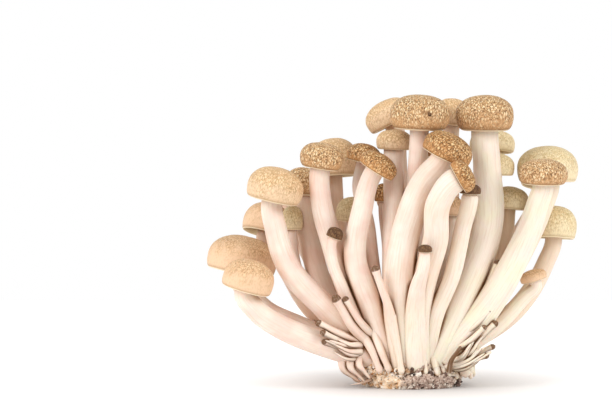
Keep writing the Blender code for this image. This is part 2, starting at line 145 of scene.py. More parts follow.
def make_piece(name, parts, materials, slot, *nodes):
    """Makes one piece of parts, each its points, faces, values at the points and faces of second material."""
    points = np.concatenate([part[0] for part in parts])
    starts = np.cumsum([0] + [len(part[0]) for part in parts])
    faces = [[corner + start for corner in face] for part, start in zip(parts, starts) for face in part[1]]
    mesh = bpy.data.meshes.new(name)
    mesh.from_pydata(points.tolist(), [], faces)
    for value in parts[0][2]:
        numbers = np.concatenate([part[2][value] for part in parts]).astype(np.float32)
        kind = "FLOAT_VECTOR" if numbers.ndim == 2 else "FLOAT"
        field = "vector" if numbers.ndim == 2 else "value"
        mesh.attributes.new(value, kind, "POINT").data.foreach_set(field, numbers.ravel())
    for material in materials:
        mesh.materials.append(material)
    if len(materials) > 1:
        second = np.concatenate([part[3] for part in parts]).astype(np.int32)
        mesh.polygons.foreach_set("material_index", second)
    mesh.shade_smooth()
    piece = bpy.data.objects.new(name, mesh)
    bpy.context.scene.collection.objects.link(piece)
    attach(piece, "root")
    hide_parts(*nodes)
    return piece


def refined(outline, steps):
    """An outline with that many steps from each of its points to the next."""
    points = [first + (last - first) * k / steps
              for first, last in zip(np.array(outline), np.array(outline[1:])) for k in range(steps)]
    return np.array([*points, outline[-1]])


def turned(profile, sides, width, depth):
    """The points, ring by ring, of a profile of reaches and heights that is turned into an oval."""
    angle = np.arange(sides) * math.tau / sides
    points = np.empty((len(profile), sides, 3))
    points[:, :, 0] = profile[:, :1] * width * np.cos(angle)
    points[:, :, 1] = profile[:, :1] * depth * np.sin(angle)
    points[:, :, 2] = profile[:, 1:]
    return points


def closed_faces(rings, sides):
    """The faces of rings round an axis, closed round the two points after them: first ring, then last."""
    i, j = np.meshgrid(np.arange(rings - 1), np.arange(sides), indexing="ij")
    after = (j + 1) % sides
    corners = [i * sides + j, (i + 1) * sides + j, (i + 1) * sides + after, i * sides + after]
    faces = np.stack([corner.ravel() for corner in corners], axis=1).tolist()
    middle, last = rings * sides, (rings - 1) * sides
    faces += [(middle, j, (j + 1) % sides) for j in range(sides)]
    faces += [(middle + 1, last + (j + 1) % sides, last + j) for j in range(sides)]
    return faces


def roughness_at(points, size, seed):
    """Smooth noise between about -1 and 1 at each point, with bumps of that size."""
    shift = Vector((seed * 3.7, seed * 1.9, seed * 2.3))
    return np.array([noise.noise(Vector(point) / size + shift) for point in points.tolist()])


def ball_of(subdivisions):
    """The points and faces of a ball of radius 1."""
    shape = bmesh.new()
    bmesh.ops.create_icosphere(shape, subdivisions=subdivisions, radius=1.0)
    points = np.array([vertex.co for vertex in shape.verts])
    faces = [[vertex.index for vertex in face.verts] for face in shape.faces]
    shape.free()
    return points, faces


def crumb_part(ball, radius, stretch, turn, place, tone, number):
    """One crumb: a squashed ball with a lumpy surface."""
    points, faces = ball
    lumps = 1 + CRUMB_LUMPS * roughness_at(points, CRUMB_LUMP_SIZE, number)
    matrix = np.array((Matrix.Rotation(turn, 3, "Z") @ Matrix.Diagonal(stretch)) * radius)
    placed = (points * lumps[:, None]) @ matrix.T + np.array(place)
    placed[:, 2] = np.maximum(placed[:, 2], 0.0)
    return placed, faces, {"place_mm": placed / MM, "tone": np.full(len(placed), tone)}


def small_crumb(ball, place, number, scatter):
    """One small crumb, of any size, proportions, turn and tone."""
    stretch = [scatter.uniform(*SMALL_CRUMB_STRETCH) for _ in range(3)]
    radius = scatter.uniform(*SMALL_CRUMB_RADIUS)
    return crumb_part(ball, radius, stretch, scatter.uniform(0, math.tau), place, scatter.random(), number)


def butt_core():
    """The block itself, with a torn wall, a rough top and a flat cut foot."""
    profile = refined(BUTT_OUTLINE, BUTT_STEPS)[1:] * (1, BUTT_HEIGHT)
    points = turned(profile, BUTT_SIDES, BUTT_HALF_WIDTH, BUTT_HALF_DEPTH).reshape(-1, 3)
    across = points * (1, 1, 0)
    across /= np.linalg.norm(across, axis=1)[:, None]
    tear = BUTT_TEAR * roughness_at(points, BUTT_TEAR_SIZE, 0)
    grain = BUTT_GRAIN * roughness_at(points, BUTT_GRAIN_SIZE, 1)
    points += across * (tear + grain)[:, None]
    points = np.vstack([points, [(0, 0, BUTT_HEIGHT), (0, 0, 0)]])
    values = {"place_mm": points / MM, "tone": 0.5 + 0.4 * roughness_at(points, TONE_SIZE, 2)}
    return points, closed_faces(len(profile), BUTT_SIDES), values


def butt_parts(draw):
    """The block with its large crumbs, which stand where they do in the solid, and then the small ones."""
    parts = [butt_core()]
    first, last = LARGE_CRUMB_DEGREES
    degrees = [first + (last - first) * (i + draw.uniform(0.2, 0.8)) / LARGE_CRUMB_COUNT
               for i in range(LARGE_CRUMB_COUNT)]
    ball = ball_of(4)
    for number, angle in enumerate(map(math.radians, [*degrees, *BACK_CRUMB_DEGREES])):
        radius = draw.uniform(*LARGE_CRUMB_RADIUS)
        stretch = (draw.uniform(0.8, 1.3), draw.uniform(0.8, 1.2), draw.uniform(0.7, 1.0))
        turn = draw.uniform(0, math.tau)
        height = draw.uniform(*LARGE_CRUMB_HEIGHT)
        place = (BUTT_HALF_WIDTH * math.cos(angle), BUTT_HALF_DEPTH * math.sin(angle), height)
        parts.append(crumb_part(ball, radius, stretch, turn, place, 0.5, number))
    scatter = random.Random(SEED + 1)
    ball = ball_of(2)
    for number in range(SMALL_CRUMB_COUNT):
        angle = scatter.uniform(0, math.tau)
        out = scatter.uniform(*FRONT_CRUMB_OUT) if math.sin(angle) < BACK_FROM_SINE else BACK_CRUMB_OUT
        height = scatter.uniform(*SMALL_CRUMB_HEIGHT)
        place = (out * BUTT_HALF_WIDTH * math.cos(angle), out * BUTT_HALF_DEPTH * math.sin(angle), height)
        parts.append(small_crumb(ball, place, number, scatter))
    return parts


draw = random.Random(SEED)
sawdust = sawdust_and_mycelium()
make_piece("sawdust_butt", butt_parts(draw), [sawdust], "butt", "cut_butt")

# The stems: firm white flesh with fine fibres along it, round and slightly wavy, each grown from the
# foot of the cluster up to its own cap. Where two press together a thin brown crease shade is painted.
RING_STEP = 0.6 * MM
SIDE_STEP = 0.55 * MM
FEWEST_SIDES = 16
STEM_WAVE = 0.035
STEM_WAVE_SIZE_MM = 9
# The relief of the fibres: its height, and how wide and how long they are in millimetres.
FIBRE_RELIEF = (0.09 * MM, 0.9, 14)
WITHERED_RELIEF = (0.2 * MM, 1.1, 14)
# The real fibres are a tenth of this width: these are as coarse as they need to be to show.
FIBRE_MM = (0.45, 0.45, 9)
FIBRE_BUMP = 0.16 * MM
CLOUD_MM = 7
CREASE_SHADE_REACH = 1.6 * MM
SHADED = 6 * MM
NECK_LENGTH = 1.5 * MM
NECK_SHARES = (0.4, 0.8, 1.0)
WIDEST_TIP = 0.62
GILL_RISE = 0.17
# Stems are pink at the left and cream further right, and duller further back with painted shade, by where
# their caps stand.
PINK_TO_CREAM_MM = (4, 24)
BRIGHT_TO_DULL_AND_SHADED_MM = (4, 12)
# The pink also fades low down, and to the right of this stretch.
PINK_FADE = 0.9
PINK_FADE_HEIGHT = (32 * MM, 16 * MM)
PINK_FADE_RIGHT = (-10 * MM, -2 * MM)

# One mushroom, in millimetres and degrees. rim is the centre of the cap's rim, lean tips the cap to the
# right and nod tips it to the front. thick is the stem's thickness under the cap and at the root,
# bends are the points that it passes on its way down, and root is its foot in the flesh.
Mushroom = namedtuple("Mushroom", "name rim radius height lean nod thick bends root skin")

MUSHROOMS = [
    Mushroom("cap_01", (-52.8, 5, 34), 10.6, 11.5, 12, -2, (5.8, 7.4),
             [(-46, 5.5, 23.5), (-34.5, 5, 17.5)], (-9.5, 2.5), "smooth"),
    Mushroom("cap_02", (-50.5, -15, 30.5), 7.6, 9.2, 16, 4, (6.4, 8.6),
             [(-47, -15, 24), (-40, -14, 19.2), (-28.5, -11, 14.2)], (-10.5, -7), "smooth"),
    Mushroom("cap_03", (-45.3, 15, 45.2), 7.6, 10.1, 15, -13, (4.6, 5.2),
             [(-41, 17, 38), (-30.5, 10.5, 21.5)], (-9, 7), "smooth"),
    Mushroom("cap_04", (-42.5, -8, 57), 8.5, 10.1, 13, 3, (6.4, 8.6),
             [(-41.5, -9, 48.5), (-38, -9, 37.5), (-26.5, -8, 24.5)], (-10.5, -7), "pale"),
    Mushroom("cap_05", (-36.5, 3, 47.5), 3.2, 7.3, 0, 0, (3.0, 3.7),
             [(-35.5, 4, 37.5)], (-8, 2.5), "straw"),
    Mushroom("cap_06", (-33.5, 9, 57.5), 5.5, 8.8, 0, -3, (6.1, 7.6),
             [(-31, 8, 42.5), (-26.5, 6, 28)], (-8, 5.5), "marbled"),
    Mushroom("cap_07", (-28, -6, 66.5), 6.7, 7.9, 9, 2, (6.1, 8.0),
             [(-28, -6, 58.5), (-24, -6, 42.5), (-18.5, -7, 27.5)], (-9.5, -8), "marbled"),
    Mushroom("cap_08", (-23.3, 18, 63), 7.6, 12.0, -3, -6, (4.6, 5.5), [(-22.2, 16, 48)], (-7, 8), "pale"),
    Mushroom("cap_09", (-15, 4, 68), 5.3, 5.8, 12, 0, (3.7, 5.0),
             [(-16.3, -1, 60), (-13.8, -2, 51), (-12.4, -4, 40)], (-7.5, -2.5), "brown"),
    Mushroom("cap_10", (-11.5, -9, 66), 6.1, 5.5, 32, 5, (5.8, 8.2),
             [(-15.5, -11, 54), (-17.5, -11, 40.5), (-12, -9.5, 22.5)], (-7.2, -8), "brown"),
    Mushroom("cap_11", (-5.5, 12, 79.4), 7.2, 7.9, -27, -4, (5.5, 6.1),
             [(-4, 12, 68.5), (-4.5, 9, 47)], (-3.5, 7), "pale"),
    Mushroom("cap_12", (-5.5, 2, 72), 5.5, 6.1, 2, 0, (6.1, 8.0),
             [(-5.5, -4, 55), (-5.8, -8, 42)], (-4.5, -4), "pale"),
    Mushroom("cap_13", (2, -7, 78.3), 9.2, 10.6, 2, 1, (5.8, 6.5), [(1.2, -6, 63)], (-2.5, -4), "marbled"),
    Mushroom("cap_14", (12.5, 11, 79), 5.5, 8.5, 3, -3, (4.9, 5.5), [(12, 9, 50)], (2.5, 5.5), "pale"),
    Mushroom("cap_15", (22, -3, 78), 8.7, 10.7, 0, 2, (8.2, 9.8),
             [(22.5, -4, 67.5), (23.3, -5, 51.5), (15, -6.5, 27)], (6.5, -6), "marbled"),
    Mushroom("cap_16", (9, -16.5, 70.3), 7.8, 7.4, 25, 6, (7.6, 11.0),
             [(4, -15, 64), (-1.7, -14, 50), (-3.9, -13, 37)], (-3, -8), "brown"),
    Mushroom("cap_17", (12.7, -27, 64.3), 5.0, 4.6, 60, 10, (7.3, 8.0),
             [(7.5, -24, 58), (6.4, -18, 45.5), (2.8, -13, 31)], (2, -8), "brown"),
    Mushroom("cap_18", (16.6, -19, 59.5), 3.2, 3.0, 3, 2, (5.2, 5.2),
             [(14.7, -15, 49), (11.3, -14, 34), (7.2, -12, 24)], (3.8, -7.5), "young"),
    Mushroom("cap_19", (3, -24, 42.5), 2.2, 2.1, 0, 4, (3.0, 9.0), [(1, -18, 30.5)], (0, -9.5), "young"),
    Mushroom("cap_20", (-24, -13.5, 46), 2.5, 3.2, 20, 4, (3.0, 4.9),
             [(-24.5, -13.5, 40.5), (-21, -12, 30)], (-9.5, -8), "young"),
    Mushroom("cap_21", (39, -12, 62), 7.2, 7.6, 1, 3, (6.4, 10.4),
             [(37.5, -12, 56.5), (33.5, -11, 45), (25.5, -9, 29.5)], (9.5, -5.5), "marbled"),
    Mushroom("cap_22", (42, 8, 61.8), 9.5, 11.1, 0, -3, (7.3, 8.6),
             [(40, 8, 54.5), (33.5, 4, 41), (24, 1, 26)], (9.5, 1.5), "straw"),
    Mushroom("cap_23", (44.5, 15, 44), 7.0, 10.1, 3, -6, (5.2, 7.0),
             [(42, 14, 36.5), (33.5, 9, 23.5)], (9.5, 5.5), "straw"),
    Mushroom("cap_24", (37.5, 1, 32), 4.1, 3.3, -17, 2, (4.0, 4.8),
             [(34.5, 1, 26.8), (27.5, 0, 19.3)], (10.5, -1.5), "smooth"),
    Mushroom("cap_25", (30.5, 14, 53), 6.1, 7.1, 4, -4, (4.3, 4.9), [(29, 12, 40.5)], (7.5, 7), "straw"),
    Mushroom("cap_26", (12.5, -2, 52), 3.0, 6.1, 0, 0, (3.0, 3.7), [(11, -2, 38.5)], (3, -1.5), "smooth"),
    Mushroom("cap_27", (25.5, 19, 70.5), 6.9, 7.0, 2, -8, (5.5, 6.1), [(22, 20, 54)], (5.5, 8), "straw"),
    Mushroom("cap_28", (25.5, 8, 64), 6.3, 6.7, 2, 0, (4.9, 5.5), [(21, 6, 44)], (6, 2.5), "straw"),
    Mushroom("cap_29", (-18, 6, 50), 5.2, 7.3, 0, 0, (4.3, 4.9), [(-17.5, 5, 37.5)], (-6.5, 1.5), "straw"),
    Mushroom("cap_30", (-8.6, 5.5, 56), 2.7, 5.5, 0, 0, (3.0, 4.3), [(-7.5, 5.5, 44)], (-4.5, 4), "brown"),
    Mushroom("cap_31", (-37.5, 27, 54.5), 6.1, 7.3, -4, -14, (4.9, 5.5),
             [(-31.5, 22, 38.5)], (-5.5, 8), "marbled"),
    Mushroom("cap_32", (6, 23, 68), 6.4, 7.6, 4, -12, (5.2, 5.8), [(4.5, 18, 46.5)], (0, 9.5), "marbled"),
    Mushroom("cap_33", (41, 27, 59.5), 6.1, 6.7, 6, -14, (4.9, 5.5), [(33, 20, 43)], (4, 8), "straw"),
    Mushroom("cap_34", (-3.5, 28, 53.5), 6.4, 7.3, -3, -16, (4.9, 5.5),
             [(-2.5, 21, 37)], (-2.5, 9.5), "brown"),
]


def smooth_path(knots, start, end, spacing):
    """Points about a spacing apart on a smooth curve through the knots."""
    directions = [start]
    for before, knot, after in zip(knots, knots[1:], knots[2:]):
        back, ahead = knot - before, after - knot
        directions.append((back.normalized() * ahead.length + ahead.normalized() * back.length).normalized())
    directions.append(end)
    points = [knots[0]]
    for i in range(len(knots) - 1):
        first, last = knots[i], knots[i + 1]
        reach = (last - first).length / 3
        count = max(1, round((last - first).length / spacing))
        handles = first + directions[i] * reach, last - directions[i + 1] * reach
        points += geometry.interpolate_bezier(first, *handles, last, count + 1)[1:]
    return points


def lengths_along(points):
    """How far along the path each point is, from 0 at its start."""
    lengths = [0.0]
    for first, last in zip(points, points[1:]):
        lengths.append(lengths[-1] + (last - first).length)
    return np.array(lengths)


def between(value, low, high):
    """0 at low, 1 at high, and even in between."""
    return np.clip((value - low) / (high - low), 0, 1)


def tube_part(path, radii, number, pink, dull_and_shade, dark_from=None, withered=0.0):
    """A round stalk along the path, fibrous and slowly wavy. Withered ones are wrinkled, with brown painted
    shade on their undersides.
    """
    sides = max(FEWEST_SIDES, round(math.tau * max(radii) / SIDE_STEP))
    angle = np.arange(sides) * math.tau / sides
    lengths = lengths_along(path)
    flat = turned(np.column_stack([radii, lengths]) / MM, sides, 1, 1).reshape(-1, 3)
    waves = STEM_WAVE * roughness_at(flat, STEM_WAVE_SIZE_MM, number)
    relief, across, along = WITHERED_RELIEF if withered else FIBRE_RELIEF
    fibres = relief * roughness_at(flat * (1 / across, 1 / across, 1 / along), 1, number)
    thickness = (np.repeat(radii, sides) * (1 + waves) + fibres).reshape(len(path), sides)
    direction = (path[1] - path[0]).normalized()
    side = direction.orthogonal().normalized()
    points = np.empty((len(path), sides, 3))
    below = np.zeros((len(path), sides))
    for i, place in enumerate(path):
        before, after = path[max(i - 1, 0)], path[min(i + 1, len(path) - 1)]
        ahead = (after - before).normalized()
        side.rotate(direction.rotation_difference(ahead))
        direction = ahead
        other = np.array(direction.cross(side))
        spokes = np.outer(np.cos(angle), side) + np.outer(np.sin(angle), other)
        points[i] = np.array(place) + spokes * thickness[i][:, None]
        # Painted shade: the more a side of a withered stalk faces down, the darker brown it is painted.
        below[i] = np.clip(-1.5 * spokes[:, 2] - 0.3, 0, 1)
    points = np.vstack([points.reshape(-1, 3), path[0], path[-1]])
    flat = np.vstack([flat, (0, 0, 0), (0, 0, lengths[-1] / MM)])
    dark = withered * np.append(below.ravel(), (0, 0))
    if dark_from is not None:
        dark = np.maximum(dark, flat[:, 2] > dark_from / MM)
    low, right = between(points[:, 2], *PINK_FADE_HEIGHT), between(points[:, 0], *PINK_FADE_RIGHT)
    values = {"grain_mm": flat + (number * 17, number * 5, 0), "pink": pink * (1 - PINK_FADE * low * right),
              "dull_and_shade": np.full(len(points), dull_and_shade), "dark": dark}
    return points, [face[::-1] for face in closed_faces(len(path), sides)], values


def cap_turn(mushroom):
    """The cap's tilt: to the right about Y, then to the front about X."""
    lean = Matrix.Rotation(math.radians(mushroom.lean), 4, "Y")
    return Matrix.Rotation(math.radians(mushroom.nod), 4, "X") @ lean


def tip_radius(mushroom):
    """The radius to which the stem flares where it meets its cap."""
    return min(mushroom.thick[0] / 2, WIDEST_TIP * mushroom.radius) * MM


def stem_part(mushroom, number):
    """One stem, from its foot in the flesh up into the middle of its cap."""
    axis = (cap_turn(mushroom) @ Vector((0, 0, 1))).normalized()
    tip = Vector(mushroom.rim) * MM + axis * (GILL_RISE * mushroom.radius * MM - GAP)
    neck = tip - axis * NECK_LENGTH
    top, bottom = (thickness / 2 * MM for thickness in mushroom.thick)
    bends = [Vector(bend) * MM for bend in reversed(mushroom.bends)]
    root = Vector((*mushroom.root, 0)) * MM
    run = (bends[0] - root).normalized()
    root += Vector((0, 0, BUTT_HEIGHT + 2 * GAP + bottom * math.hypot(run.x, run.y)))
    path = smooth_path([root, *bends, neck], (bends[0] - root).normalized(), axis, RING_STEP)
    shares = lengths_along(path)
    radii = list(bottom + (top - bottom) * shares / shares[-1])
    last, flare = radii[-1], tip_radius(mushroom)
    for share in NECK_SHARES:
        path.append(neck + axis * (NECK_LENGTH + GAP) * share)
        radii.append(last + (flare - last) * share)
    pink = 1 - between(mushroom.rim[0], *PINK_TO_CREAM_MM)
    return tube_part(path, radii, number, pink, between(mushroom.rim[1], *BRIGHT_TO_DULL_AND_SHADED_MM))


def fibrous_stem_flesh():
    """Firm mushroom flesh: satin, cream to pink, with fine fibres along it, and brown painted shade between
    the stems, in its creases, on the stems further back and under withered stalks.
    """
    material, tree, shader = new_material("fibrous_stem_flesh")
    grain = add_node(tree, "Attribute", attribute_name="grain_mm", output="Vector")
    pink, dull_and_shade, dark = (add_node(tree, "Attribute", attribute_name=name, output="Fac")
                        for name in ("pink", "dull_and_shade", "dark"))
    drawn = add_node(tree, "VectorMath", {0: grain, 1: [1 / size for size in FIBRE_MM]}, operation="MULTIPLY")
    fibres = add_node(tree, "TexNoise", {"Vector": drawn, "Scale": 1.0, "Detail": 4.0, "Roughness": 0.65})
    clouds = add_node(tree, "TexNoise", {"Vector": grain, "Scale": 1 / CLOUD_MM, "Detail": 2.0})
    cloudy = add_node(tree, "MapRange", {"Value": clouds, "From Min": 0.35, "From Max": 0.65})
    # Stems further back are painted duller: partly painted shade, for the shade that the stems in front cast
    # on them.
    dulled_and_shaded = add_node(tree, "Math", {0: dull_and_shade, 1: 0.6}, operation="MULTIPLY")
    streaks = add_node(tree, "MapRange", {"Value": fibres, "From Min": 0.48, "From Max": 0.74,
                                          "To Max": 0.45})
    # Painted shade: the flesh is browned where occlusion shows that the stems shade each other, more on the
    # pink ones.
    shade_occlusion = add_node(tree, "AmbientOcclusion", {"Distance": SHADED}, samples=6, output="AO")
    depth = add_node(tree, "Math", {0: pink, 1: 0.25, 2: 0.25}, operation="MULTIPLY_ADD")
    shade = add_node(tree, "MapRange", {"Value": shade_occlusion, "From Min": 0.85, "From Max": 0.3, "To Max": depth})
    # Painted crease shade: a thin brown line where the occlusion is deepest, in the grooves between stems
    # pressed together.
    crease_occlusion = add_node(tree, "AmbientOcclusion", {"Distance": CREASE_SHADE_REACH}, samples=6, output="AO")
    crease_shade = add_node(tree, "MapRange", {"Value": crease_occlusion, "From Min": 0.76, "From Max": 0.42, "To Max": 0.95})
    broken = add_node(tree, "MapRange", {"Value": fibres, "From Min": 0.38, "From Max": 0.58, "To Min": 0.75,
                                         "To Max": 1.2})
    # The real dark of the pin tips, and the painted shade under withered stalks, broken up by the fibres.
    dark_tips_and_underside_shade = add_node(tree, "Math", {0: dark, 1: broken}, operation="MULTIPLY", use_clamp=True)
    colour = linear("#F2ECD4")
    for share, coat in ((pink, "#EFD3C5"), (cloudy, "#F4E6D8"), (dulled_and_shaded, "#E3C6AE"), (streaks, "#D5B498"),
                        (shade, "#D2A57E"), (crease_shade, "#8C5A28"), (dark_tips_and_underside_shade, "#6F4E32")):
        colour = add_node(tree, "Mix", {0: share, 6: colour, 7: linear(coat)}, data_type="RGBA", output=2)
    bump = add_node(tree, "Bump", {"Height": fibres, "Strength": 0.6, "Distance": FIBRE_BUMP})
    fill_sockets(tree, shader, {"Base Color": colour, "Normal": bump, "Roughness": 0.55, "IOR": 1.38,
                                "Subsurface Weight": 0.2, "Subsurface Radius": (1.0, 0.55, 0.35),
                                "Subsurface Scale": 1.2 * MM})
    return material


stem_flesh = fibrous_stem_flesh()
for number, mushroom in enumerate(MUSHROOMS):
    stem_name = mushroom.name.replace("cap", "stem")
    make_piece(stem_name, [stem_part(mushroom, number)], [stem_flesh], "stem_flesh", "stems")

# The foot: the solid flesh in which all the stems join, with folds of it that hang over the butt at its
# sides and back. It grew as one with the stems and is the same white flesh.
HEART_PROFILE_MM = ((0.0, 13.0), (5.5, 11.8), (10.0, 8.5), (12.4, 4.5), (12.8, 2.0), (12.4, 0.0), (0.0, 0.0))
HEART_DEPTH_RATIO = 0.86
HEART_SIDES = 220
HEART_STEPS = 6
HEART_LOW = 4.5 * MM
HEART_LUMPS = 0.05
HEART_LUMP_SIZE = 3 * MM
HEART_TATTERS = 0.7 * MM
HEART_TATTER_SIZE = 1.6 * MM
# How low the flesh hangs over the butt and how far out, in each direction: in degrees and millimetres.
HEART_HEM = ((0, 3.0, 15.6), (60, 4.0, 15.0), (120, 3.5, 15.0), (180, 3.0, 15.8), (205, 2.4, 16.0),
             (220, 4.6, 15.4), (234, 6.4, 13.8), (252, 6.8, 13.2), (260, 5.3, 14.6), (268, 5.9, 13.6),
             (281, 4.4, 14.9), (293, 5.8, 13.6), (305, 4.0, 15.2), (325, 3.4, 15.6), (343, 2.5, 16.0),
             (360, 3.0, 15.6))
# The tongues of flesh that hang lowest in front: direction in degrees, height of the tip and thickness in mm.
HEM_TONGUES = ((200, 2.0, 3.4), (207, 3.2, 2.6), (214, 2.2, 3.0), (222, 4.0, 2.6), (229, 5.0, 2.8),
               (264, 4.6, 2.4), (271, 5.0, 3.0), (284, 4.4, 2.0), (299, 3.8, 2.6), (307, 4.6, 2.2),
               (315, 3.0, 3.0), (323, 3.9, 2.4), (331, 2.4, 2.8), (340, 2.9, 3.2))
TONGUE_REACH_MM = (15.0, 15.7)
TONGUE_BEND_REACH_MM = 14.6
TONGUE_BEND_RISE_MM = 4.4
TONGUE_ROOT_MM = (12.0, 10.5)
FOLDS_DEGREES_MM = ((155, 18.6), (180, 19.8), (204, 19.4), (-25, 17.0), (-3, 17.4), (21, 16.4), (58, 15.6),
                    (90, 15.2), (123, 16.4))
FOLD_ROOT_MM = (10.0, 13.6)
FOLD_BEND_HEIGHT_MM = 9.4
FOLD_FOOT_MM = (17.8, 2.9)
FOLD_THICKNESS_MM = 5.8
STRANDS_PER_FOLD = 5
STRAND_THICKNESS_MM = (1.3, 2.4)
# How thick a fold is inside its strands, and how far aside, out and up they stand, in half thicknesses.
FOLD_CORE = 0.8
STRANDS_ASIDE = 0.9
STRANDS_OUT = 0.62
STRANDS_UP = 0.35
# How close the strands' two ends lie to the fold, and how much they differ in height, in millimetres.
STRAND_END = (0.8, (-1.2, 2.4))
STRAND_START = (0.6, (-1, 2))
LOOSE_STRAND_COUNT = 24
LOOSE_STRAND_THICKNESS_MM = (1.4, 2.5)
PIN_STEP = 0.5 * MM
PIN_ROOT_SWELL = 1.25
PIN_TAPER = 0.5
POINTED_TAPER = 0.8
PIN_TIP_LENGTH = 2.2
PIN_TIP_SWELL = 0.15
PIN_TIP_STEPS = 9
PIN_TO_PINK_MM = (-16, 0)
PIN_DULL = 0.25
FRESH_PIN_HEIGHT_MM = 25

# A fan of loose strands: the side it points to, how steeply they rise in degrees, how long they are, where
# they start and how far to the front they end, and how far their middles sag. In millimetres.
Fan = namedtuple("Fan", "side rise length right front up tip_front sag")

RIGHT_FAN = Fan(1, (12, 60), (9, 15), (9, 12.5), (-10, -7.5), (5.5, 8), (-14, -11.5), (0.9, -1.2, -0.8))
LEFT_FAN = Fan(-1, (12, 40), (6, 10), (-18.5, -15.5), -11.5, (9, 14), (-16.5, -14), (-0.6, -1.6, -0.4))

# A pin is a mushroom that never opened: a tapering stalk that ends in a blunt dark tip. In millimetres.
Pin = namedtuple("Pin", "tip thick bend root")

FRONT_PINS = [
    Pin((-12, -19, 38), 2.9, (-7.8, -17.5, 26), (-4, -10, 8)),
    Pin((-24, -17, 29), 3.4, (-18.5, -14, 19.5), (-8, -6, 10)),
    Pin((-21, -17, 28.5), 2.4, (-17, -15, 22), (-7, -6, 12)),
    Pin((-29.5, -16, 21), 2.7, (-25, -15, 18.5), (-8, -6, 11)),
    Pin((-28, -17, 18), 2.4, (-22, -14, 15), (-8, -6, 10)),
    Pin((-27.5, -15, 15), 2.2, (-21, -12.5, 12), (-8, -6, 9)),
    Pin((23.5, -12, 24.5), 1.8, (19.5, -12, 20), (8, -5, 11)),
    Pin((25.5, -11, 20.5), 2.5, (20, -11, 15.5), (8, -5, 10)),
    Pin((22, -14, 19.5), 2.0, (17.5, -12.5, 15), (7, -6, 9)),
    Pin((25, -9, 13), 2.2, (18, -8, 10), (7, -4, 8.5)),
    Pin((23, -12, 10.5), 2.2, (17, -10, 8.5), (7, -5, 8)),
    Pin((26, -9, 39), 2.7, (22, -9, 29), (8, -4, 12)),
]
BACK_PIN_COUNT = 9
BACK_PIN_DEGREES = (10, 170)
BACK_PIN_REACH_MM = (17, 23)
BACK_PIN_HEIGHT_MM = (15, 27)
BACK_PIN_THICKNESS_MM = (2.2, 3.0)
BACK_PIN_ROOT_MM = (7, 9)
BACK_PIN_ROOT_HEIGHT_MM = 10
BACK_PIN_BEND = (0.78, 0.62)


def back_pins(draw):
    """Pins round the back of the butt, fanned out evenly with a little scatter."""
    pins = []
    first, last = BACK_PIN_DEGREES
    bend_out, bend_up = BACK_PIN_BEND
    for i in range(BACK_PIN_COUNT):
        angle = math.radians(first + (last - first) * (i + draw.uniform(0.2, 0.8)) / BACK_PIN_COUNT)
        reach, height = draw.uniform(*BACK_PIN_REACH_MM), draw.uniform(*BACK_PIN_HEIGHT_MM)
        foot = draw.uniform(*BACK_PIN_ROOT_MM)
        across, back = math.cos(angle), math.sin(angle)
        run = (reach, height), (bend_out * reach, bend_up * height), (foot, BACK_PIN_ROOT_HEIGHT_MM)
        tip, bend, root = ((out * across, out * back, up) for out, up in run)
        pins.append(Pin(tip, draw.uniform(*BACK_PIN_THICKNESS_MM), bend, root))
    return pins


def outward_run(degrees, run):
    """The places of a run out from the middle of the foot, each given by its reach and its height."""
    across = math.cos(math.radians(degrees))
    back = HEART_DEPTH_RATIO * math.sin(math.radians(degrees))
    return [(across * reach, back * reach, up) for reach, up in run]


def side_folds(draw):
    """The folds, each a short thick pin that turns down instead of up."""
    folds = []
    for degrees, bend_reach in FOLDS_DEGREES_MM:
        stretch = draw.uniform(0.97, 1.02)
        run = FOLD_ROOT_MM, (bend_reach, FOLD_BEND_HEIGHT_MM), FOLD_FOOT_MM
        root, bend, foot = outward_run(degrees, [(reach * stretch, up) for reach, up in run])
        folds.append(Pin(foot, FOLD_THICKNESS_MM * draw.uniform(0.85, 1.1), bend, root))
    return folds


def strands_of(fold, scatter):
    """The strands that a fold is torn into: thinner pins side by side along it, each a little off its run."""
    foot, bend, root = (Vector(place) for place in (fold.tip, fold.bend, fold.root))
    outward = Vector((bend.x, bend.y, 0)).normalized()
    aside = Vector((-outward.y, outward.x, 0))
    half = fold.thick / 2
    strands = [fold._replace(thick=FOLD_CORE * fold.thick)]
    for i in range(STRANDS_PER_FOLD):
        share = 2 * (i + scatter.uniform(0.3, 0.7)) / STRANDS_PER_FOLD - 1
        out = math.sqrt(1 - share * share) * half * STRANDS_OUT
        step = aside * share * half * STRANDS_ASIDE + outward * out + Vector((0, 0, STRANDS_UP * out))
        end = foot + step * STRAND_END[0] + Vector((0, 0, scatter.uniform(*STRAND_END[1])))
        turn = bend + step * scatter.uniform(0.85, 1.1)
        start = root + step * STRAND_START[0] + Vector((0, 0, scatter.uniform(*STRAND_START[1])))
        strands.append(Pin(end, scatter.uniform(*STRAND_THICKNESS_MM), turn, start))
    return strands


def loose_strands(scatter):
    """Withered strands that fan out in front of the foot, by turns at the left and at the right."""
    strands = []
    for i in range(LOOSE_STRAND_COUNT):
        fan = RIGHT_FAN if i % 2 else LEFT_FAN
        rise, length = math.radians(scatter.uniform(*fan.rise)), scatter.uniform(*fan.length)
        right = scatter.uniform(*fan.right)
        front = fan.front if fan is LEFT_FAN else scatter.uniform(*fan.front)
        root = Vector((right, front, scatter.uniform(*fan.up)))
        tip_right = right + fan.side * length * math.cos(rise)
        tip = Vector((tip_right, scatter.uniform(*fan.tip_front), root.z + length * math.sin(rise)))
        bend = (tip + root) / 2 + Vector(fan.sag)
        strands.append(Pin(tip, scatter.uniform(*LOOSE_STRAND_THICKNESS_MM), bend, root))
    return strands


def hem_tongues(scatter):
    """Short tongues of flesh that hang from the feet of the stems over the front of the butt."""
    tongues = []
    for degrees, height, thick in HEM_TONGUES:
        bend_height = height / 2 + TONGUE_BEND_RISE_MM
        run = (scatter.uniform(*TONGUE_REACH_MM), height), (TONGUE_BEND_REACH_MM, bend_height), TONGUE_ROOT_MM
        tip, bend, root = outward_run(degrees, run)
        tongues.append(Pin(tip, thick, bend, root))
    return tongues


